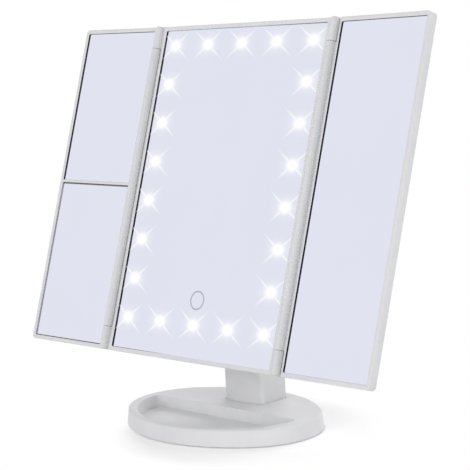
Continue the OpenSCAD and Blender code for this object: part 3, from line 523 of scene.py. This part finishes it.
def soften(obj, width_mm):
    """Rounds a CAD node's sharp edges by width_mm, with modifiers alone."""
    weld = obj.modifiers.new("weld", "WELD")
    weld.merge_threshold = WELD_GAP
    planar = obj.modifiers.new("planar", "DECIMATE")
    planar.decimate_type = "DISSOLVE"
    planar.angle_limit = FLAT_ANGLE
    if width_mm:
        bevel = obj.modifiers.new("round", "BEVEL")
        bevel.width = width_mm * MM
        bevel.segments = 2
        bevel.limit_method = "ANGLE"
        bevel.angle_limit = BEVEL_ANGLE
        bevel.use_clamp_overlap = True
        bevel.miter_outer = "MITER_ARC"
    add_smoothing(obj)


# ---------------------------------------------------------------- the object

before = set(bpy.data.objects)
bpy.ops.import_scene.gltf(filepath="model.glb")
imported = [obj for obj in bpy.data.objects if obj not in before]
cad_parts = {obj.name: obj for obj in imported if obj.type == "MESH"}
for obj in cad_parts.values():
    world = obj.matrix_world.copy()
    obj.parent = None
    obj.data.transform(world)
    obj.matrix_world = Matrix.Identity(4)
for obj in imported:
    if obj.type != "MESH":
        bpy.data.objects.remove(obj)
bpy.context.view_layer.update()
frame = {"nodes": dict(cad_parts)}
nodes = frame["nodes"]


def paint(material, *names):
    """Gives the named nodes one material."""
    for name in names:
        slots = nodes[name].data.materials
        slots.clear()
        slots.append(material)


def dress():
    paint(plastic("shell_plastic"), "base_shell", "base_cover", "neck_column", "neck_rear_cover",
          "tilt_bracket", "rear_housing", "battery_door", "left_cover", "right_cover",
          "switch_slider")
    paint(plastic("centre_frame_plastic", 0, [CENTRE_OPENING]), "centre_frame")
    paint(plastic("left_frame_plastic", -1, [UPPER_OPENING, LOWER_OPENING]), "left_frame")
    paint(plastic("right_frame_plastic", 1, [RIGHT_OPENING]), "right_frame")
    paint(mirror("centre_glass", 0, CENTRE_OPENING), "centre_mirror")
    paint(mirror("left_upper_glass", -1, UPPER_OPENING), "left_upper_mirror")
    paint(mirror("left_lower_glass", -1, LOWER_OPENING), "left_lower_mirror")
    paint(mirror("right_glass", 1, RIGHT_OPENING), "right_mirror")
    paint(frosted("window_glass"), "light_windows", "leds")
    paint(ring_print("ring_etch"), "touch_ring")
    paint(metal("screw_steel", STEEL), "ballast_plate", "base_screws", "neck_cover_screws",
          "neck_foot_screws", "tilt_axle", "friction_washers", "axle_nut", "bracket_screws",
          "board_screws", "usb_socket", "switch_case", "housing_screws", "battery_contacts",
          "hinge_pins")
    paint(metal("bushing_brass", BRASS, 0.28), "axle_bushing", "touch_sensor")
    paint(rubber("foot_rubber"), "base_feet")
    paint(circuit("board_mask"), "led_board", "control_board")
    paint(moulded("component_black", COMPONENT, 0.45), "board_components")
    paint(moulded("cell_jacket", CELL_JACKET, 0.3), "battery_cells")
    paint(foam("pad_foam"), "left_foam_pad", "right_foam_pad")


dress()
for name, width in ROUNDING_MM.items():
    soften(nodes[name], width)


# ---------------------------------------------------------------- cross-recessed screws

SCREW_SIDES = 28
# head outline as shares of the head's radius and height, from its seat to the flat round the recess
HEAD_OUTLINE = ((1.0, 0.0), (1.0, 0.35), (0.96, 0.62), (0.84, 0.85), (0.66, 0.97), (0.58, 1.0))
# the cross recess: reach and half width as shares of the head's radius, depth of its height, and
# the size of its floor beside its mouth
RECESS_REACH = 0.46
RECESS_HALF = 0.11
RECESS_DEPTH = 0.62
RECESS_TAPER = 0.8
TIP_LENGTH_MM = 1.2
TIP_SHARE = 0.4
# head radius and height, shank radius and length
SCREW_SIZES_MM = {
    "neck_cover_screws": (2.2, 1.2, 1.1, 8.5),
    "bracket_screws": (2.3, 1.3, 1.1, 9.2),
    "housing_screws": (1.7, 0.9, 0.8, 4.6),
    "base_screws": (2.1, 0.7, 1.1, 6.7),
    "neck_foot_screws": (3.0, 1.9, 1.1, 10.0)}
# how far the screw seats are sunk below, or raised above, the face that they go through
COVER_SINK_MM = 1.5
BRACKET_RISE_MM = 1.2
HOUSING_SINK_MM = 1.0
NECK_FOOT_RISE_MM = 2.0
BRACKET_SCREW_X_MM = (-14, 14)
BRACKET_SCREW_Z_MM = (-12, 12)
NECK_FOOT_SCREW_X_MM = (-9, 9)
NECK_FOOT_SCREW_Y_MM = (-8, 8)


def add_screw(bm, seat, axis, head_r, head_h, shank_r, shank_l):
    """One pan-head screw: seat is the point under its head, axis points out of the head."""
    ax = axis.normalized()
    side = ax.orthogonal().normalized()
    other = ax.cross(side)

    def point(x, y, z):
        return bm.verts.new((seat + side * x + other * y + ax * z) * MM)

    def ring(radius, z):
        turns = [2 * math.pi * i / SCREW_SIDES for i in range(SCREW_SIDES)]
        return [point(radius * math.cos(t), radius * math.sin(t), z) for t in turns]

    rings = [ring(shank_r * TIP_SHARE, -shank_l), ring(shank_r, -shank_l + TIP_LENGTH_MM),
             ring(shank_r, 0.0)]
    rings += [ring(head_r * a, head_h * b) for a, b in HEAD_OUTLINE]
    bm.faces.new(reversed(rings[0]))
    for low, high in zip(rings, rings[1:]):
        for i in range(SCREW_SIDES):
            j = (i + 1) % SCREW_SIDES
            bm.faces.new((low[i], low[j], high[j], high[i]))
    reach, half = RECESS_REACH * head_r, RECESS_HALF * head_r
    cross = [(reach, -half), (reach, half), (half, half), (half, reach),
             (-half, reach), (-half, half), (-reach, half), (-reach, -half),
             (-half, -half), (-half, -reach), (half, -reach), (half, -half)]
    mouth = [point(x, y, head_h) for x, y in cross]
    depth = head_h * (1 - RECESS_DEPTH)
    floor = [point(RECESS_TAPER * x, RECESS_TAPER * y, depth) for x, y in cross]
    top_edges = [bm.edges.get((a, b)) for a, b in zip(rings[-1], rings[-1][1:] + rings[-1][:1])]
    mouth_edges = [bm.edges.new((a, b)) for a, b in zip(mouth, mouth[1:] + mouth[:1])]
    bmesh.ops.bridge_loops(bm, edges=top_edges + mouth_edges)
    for i in range(len(cross)):
        j = (i + 1) % len(cross)
        bm.faces.new((mouth[i], mouth[j], floor[j], floor[i]))
    bm.faces.new(floor)


def screw_group(node, body, material, seats, axis):
    """Replaces a node of plain screws by recessed ones. The seats are in millimetres, and the axis
    points out of the heads."""
    bm = bmesh.new()
    for seat in seats:
        add_screw(bm, seat, axis, *SCREW_SIZES_MM[node])
    bmesh.ops.recalc_face_normals(bm, faces=bm.faces)
    mesh = bpy.data.meshes.new(node + "_detail")
    bm.to_mesh(mesh)
    bm.free()
    piece = bpy.data.objects.new(node + "_detail", mesh)
    bpy.context.scene.collection.objects.link(piece)
    mesh.materials.append(material)
    add_smoothing(piece)
    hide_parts(node)
    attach(piece, body)


def add_screws():
    steel = nodes["base_screws"].data.materials[0]
    origin, across, up, back = axes(0)
    origin = origin / MM
    screw_group("neck_cover_screws", "stand", steel,
                [Vector((0, NECK_BACK_MM - COVER_SINK_MM, z)) for z in COVER_SCREW_Z_MM],
                Vector((0, 1, 0)))
    screw_group("bracket_screws", "centre_panel", steel,
                [origin + across * x + up * (PIVOT_UP_MM + z) + back * (BULGE_MM + BRACKET_RISE_MM)
                 for x in BRACKET_SCREW_X_MM for z in BRACKET_SCREW_Z_MM],
                back)
    screw_group("housing_screws", "centre_panel", steel,
                [origin + across * x + up * z + back * (CENTRE_T_MM - HOUSING_SINK_MM)
                 for x in (-HOUSING_SCREW_X_MM, HOUSING_SCREW_X_MM) for z in HOUSING_SCREW_Z_MM],
                back)
    down = Vector((0, 0, -1))
    screw_group("base_screws", "stand", steel,
                [Vector((x, y, COVER_LOW_MM)) for x, y in BASE_SCREWS_MM], down)
    screw_group("neck_foot_screws", "stand", steel,
                [Vector((x, NECK_Y_MM + y, FLOOR_MM + NECK_FOOT_RISE_MM))
                 for x in NECK_FOOT_SCREW_X_MM for y in NECK_FOOT_SCREW_Y_MM],
                down)


add_screws()


# ---------------------------------------------------------------- floor, light and camera

def seen_rays(tree):
    """1 for what the camera sees, straight or in a mirror; 0 for light that falls on the object."""
    path = tree.nodes.new("ShaderNodeLightPath")

    def maths(operation, a, b):
        node = tree.nodes.new("ShaderNodeMath")
        node.operation = operation
        for value, socket in zip((a, b), node.inputs):
            if isinstance(value, float):
                socket.default_value = value
            else:
                tree.links.new(value, socket)
        return node.outputs[0]

    mirrored = maths("MAXIMUM", path.outputs["Is Glossy Ray"], path.outputs["Is Transmission Ray"])
    mirrored = maths("MULTIPLY", mirrored, maths("LESS_THAN", path.outputs["Diffuse Depth"], 0.5))
    return maths("MAXIMUM", path.outputs["Is Camera Ray"], mirrored)


# the floor keeps its shadow inside a long soft oval, which reaches out in front of the base;
# the oval is also painted a little below white, a painted shadow halo that fades to white at its
# rim
SHADE_HEADING = math.radians(-45.4)
SHADE_AHEAD_MM = 18.0
SHADE_ASIDE_MM = 17.0
SHADE_LONG_MM = 99.0
SHADE_WIDE_MM = 98.0
SHADE_SOFT = (0.74, 1.04)
FLOOR_LIFT = 0.24
FLOOR_RADIUS = 14.0
FLOOR_GAP = 0.00005
PAPER = (0.86, 0.86, 0.87)
PAPER_PALE = (0.88, 0.88, 0.885)
WHITE = (1.0, 1.0, 1.0)
AMBIENT = 0.35


def make_floor():
    """White floor that shows its shadow near the base inside a painted shadow halo, and plain white
    farther off.
    """
    bm = bmesh.new()
    bmesh.ops.create_circle(bm, cap_ends=True, radius=FLOOR_RADIUS, segments=64)
    mesh = bpy.data.meshes.new("floor")
    bm.to_mesh(mesh)
    bm.free()
    floor = bpy.data.objects.new("floor", mesh)
    bpy.context.scene.collection.objects.link(floor)
    floor.location.z = -FLOOR_GAP
    g = Graph("floor_white")
    paper = g.add("ShaderNodeBsdfDiffuse")
    grain = g.noise(500.0, 2.0)
    g.put(g.mix(grain, PAPER, PAPER_PALE), paper.inputs["Color"])
    lift = g.add("ShaderNodeEmission")
    g.put(WHITE, lift.inputs["Color"])
    seen = seen_rays(g.tree)
    g.put(g.maths("MULTIPLY", seen, FLOOR_LIFT), lift.inputs["Strength"])
    near = g.add("ShaderNodeAddShader")
    g.put(paper.outputs[0], near.inputs[0])
    g.put(lift.outputs[0], near.inputs[1])
    far = g.add("ShaderNodeEmission")
    far.inputs["Strength"].default_value = 1.0
    ahead = Vector((math.cos(SHADE_HEADING), math.sin(SHADE_HEADING), 0))
    aside = Vector((-ahead.y, ahead.x, 0))
    along = g.vector("DOT_PRODUCT", g.place, ahead / (SHADE_LONG_MM * MM), "Value")
    along = g.maths("SUBTRACT", along, SHADE_AHEAD_MM / SHADE_LONG_MM)
    across = g.vector("DOT_PRODUCT", g.place, aside / (SHADE_WIDE_MM * MM), "Value")
    across = g.maths("SUBTRACT", across, SHADE_ASIDE_MM / SHADE_WIDE_MM)
    out = g.maths("SQRT", g.maths("ADD", g.maths("MULTIPLY", along, along),
                                  g.maths("MULTIPLY", across, across)))
    blank = g.maths("MULTIPLY", seen, g.step(out, *SHADE_SOFT))
    mesh.materials.append(g.finish(g.blend(blank, near.outputs[0], far.outputs[0])))


def make_world(ambient):
    """White to the camera and in reflections, ambient for everything else."""
    world = bpy.data.worlds.new("studio")
    bpy.context.scene.world = world
    world.use_nodes = True
    tree = world.node_tree
    back = tree.nodes["Background"]
    back.inputs["Color"].default_value = (*WHITE, 1.0)
    level = tree.nodes.new("ShaderNodeMapRange")
    level.inputs["To Min"].default_value = ambient
    level.inputs["To Max"].default_value = 1.0
    tree.links.new(seen_rays(tree), level.inputs["Value"])
    tree.links.new(level.outputs[0], back.inputs["Strength"])


# name, place, the height over the origin that it points at, width, height and watts
LAMPS = (("front", (0.35, -2.1, 0.6), 0.08, 1.6, 0.9, 16.0),
         ("high", (0.2, -1.75, 1.25), 0.05, 1.6, 0.9, 7.0),
         ("right", (1.9, 0.3, 0.7), 0.08, 1.6, 0.9, 12.0),
         ("back", (-0.3, 1.8, 1.4), 0.08, 1.8, 0.9, 20.0))


def add_lamp(name, place, target_z, width, height, watts):
    """One rectangular lamp, unseen by the camera and in reflections."""
    data = bpy.data.lights.new(name, "AREA")
    data.shape = "RECTANGLE"
    data.size = width
    data.size_y = height
    data.energy = watts
    lamp = bpy.data.objects.new(name, data)
    bpy.context.scene.collection.objects.link(lamp)
    lamp.location = place
    lamp.rotation_mode = "QUATERNION"
    aim = Vector((0, 0, target_z)) - Vector(place)
    lamp.rotation_quaternion = aim.to_track_quat("-Z", "Y")
    lamp.visible_camera = False
    lamp.visible_glossy = False


# solved from the photograph's straight edges
CAMERA_PLACE = Vector((0.7881, -0.7794, 0.2854))
CAMERA_AZIMUTH = math.radians(44.63)
CAMERA_ELEVATION = math.radians(9.36)
CAMERA_ROLL = math.radians(-3.07)
CAMERA_LENS = 118.28
CAMERA_SHIFT = 0.1079


def add_camera():
    """The photograph's viewpoint, lens and roll."""
    a, e, r = CAMERA_AZIMUTH, CAMERA_ELEVATION, CAMERA_ROLL
    back = Vector((math.sin(a) * math.cos(e), -math.cos(a) * math.cos(e), math.sin(e)))
    right = Vector((math.cos(a), math.sin(a), 0))
    up = back.cross(right)
    rolled_right = right * math.cos(r) + up * math.sin(r)
    rolled_up = up * math.cos(r) - right * math.sin(r)
    data = bpy.data.cameras.new("camera")
    data.lens = CAMERA_LENS
    data.sensor_width = 36.0
    data.shift_y = CAMERA_SHIFT
    data.clip_start = 0.01
    data.clip_end = 40.0
    camera = bpy.data.objects.new("camera", data)
    bpy.context.scene.collection.objects.link(camera)
    turn = Matrix((rolled_right, rolled_up, back)).transposed()
    camera.matrix_world = Matrix.Translation(CAMERA_PLACE) @ turn.to_4x4()
    bpy.context.scene.camera = camera


make_floor()
make_world(AMBIENT)
for lamp in LAMPS:
    add_lamp(*lamp)
add_camera()
bpy.context.scene.view_settings.view_transform = "Standard"
